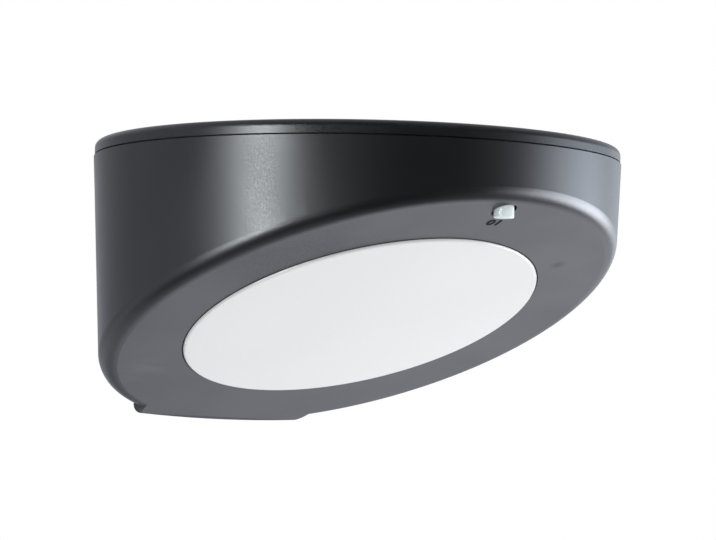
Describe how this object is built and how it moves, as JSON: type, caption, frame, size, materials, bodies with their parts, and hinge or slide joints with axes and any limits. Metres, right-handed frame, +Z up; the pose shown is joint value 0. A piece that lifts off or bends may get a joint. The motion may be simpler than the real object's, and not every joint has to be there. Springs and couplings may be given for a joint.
{
  "type": "solar wall light",
  "caption": "Half-round solar wall light: drafted black housing with a sloping underside, round opal diffuser, push button, lid with a solar panel, and a hook-on wall bracket.",
  "frame": {"origin": "midway between the two wall screws of the bracket, on the wall plane", "axes": "+X along the wall, +Y into the wall, +Z up; the lamp faces -Y and shines down and outward"},
  "size_m": [0.18, 0.1694, 0.0912],
  "materials": {
    "zinc_steel": "zinc plated, satin",
    "housing_plastic": "black moulded plastic, satin with a fine grain",
    "rear_plastic": "black moulded plastic, matt",
    "lid_plastic": "black moulded plastic, smooth and a little glossier than the housing",
    "seal_rubber": "black rubber",
    "black_screws": "black oxide steel",
    "panel_backing": "black laminate",
    "solar_silicon": "dark blue silicon with fine grid lines",
    "tinned_ribbon": "tinned copper",
    "panel_glass": "clear, smooth",
    "opal_plastic": "opal white, satin",
    "grey_silicone": "grey silicone",
    "white_plastic": "white moulded plastic",
    "steel_screws": "zinc plated steel",
    "lamp_board": "white solder resist on aluminium",
    "led_phosphor": "yellow phosphor in a white package",
    "cell_can": "nickel plated steel",
    "cell_sleeve": "blue shrink sleeve",
    "black_plastic": "black plastic",
    "tinned_contact": "tinned spring steel",
    "green_board": "green solder resist",
    "chip_black": "black epoxy",
    "ferrite": "grey ferrite",
    "capacitor_can": "dark sleeved can",
    "plug_white": "off-white nylon",
    "button_white": "bluish white translucent plastic",
    "switch_white": "white acetal",
    "spring_steel": "bright spring wire",
    "switch_black": "black plastic",
    "switch_wire": "white insulation",
    "solar_wire": "red insulation",
    "led_wire": "yellow insulation",
    "battery_wire": "black insulation"
  },
  "bodies": {
    "wall_bracket": {"wall_bracket": "zinc_steel"},
    "lamp": {"housing": "housing_plastic", "rear_cover": "rear_plastic", "rear_cover_seal": "seal_rubber", "rear_cover_screws": "black_screws", "lid": "lid_plastic", "lid_seal": "seal_rubber", "solar_panel_board": "panel_backing", "solar_cells": "solar_silicon", "solar_cell_ribbons": "tinned_ribbon", "solar_panel_cover": "panel_glass", "diffuser": "opal_plastic", "diffuser_seal": "grey_silicone", "reflector": "white_plastic", "reflector_screws": "steel_screws", "led_board": "lamp_board", "led_chips": "led_phosphor", "led_board_screws": "steel_screws", "battery_cell": "cell_can", "battery_sleeve": "cell_sleeve", "battery_holder": "black_plastic", "battery_holder_screws": "steel_screws", "battery_contact_plate": "tinned_contact", "battery_contact_spring": "tinned_contact", "control_board": "green_board", "control_board_screws": "steel_screws", "controller_chip": "chip_black", "inductor": "ferrite", "capacitor": "capacitor_can", "lead_connectors": "plug_white", "switch_body": "switch_black", "switch_board": "green_board", "switch_board_screws": "steel_screws", "switch_lead": "switch_wire", "solar_lead": "solar_wire", "led_lead": "led_wire", "battery_lead": "battery_wire"},
    "button": {"button_cap": "button_white", "switch_plunger": "switch_white", "switch_spring": "spring_steel"}
  },
  "joints": [
    {"name": "lamp_lift", "type": "slide", "parent": "wall_bracket", "child": "lamp", "axis": [0, 0, 1], "range_m": [0, 0.009]},
    {"name": "button_press", "type": "slide", "parent": "lamp", "child": "button", "axis": [0, 0, 1], "range_m": [0, 0.0015], "stiffness_N_per_m": 1000, "springref_m": -0.001, "deforming": ["switch_spring"]}
  ]
}
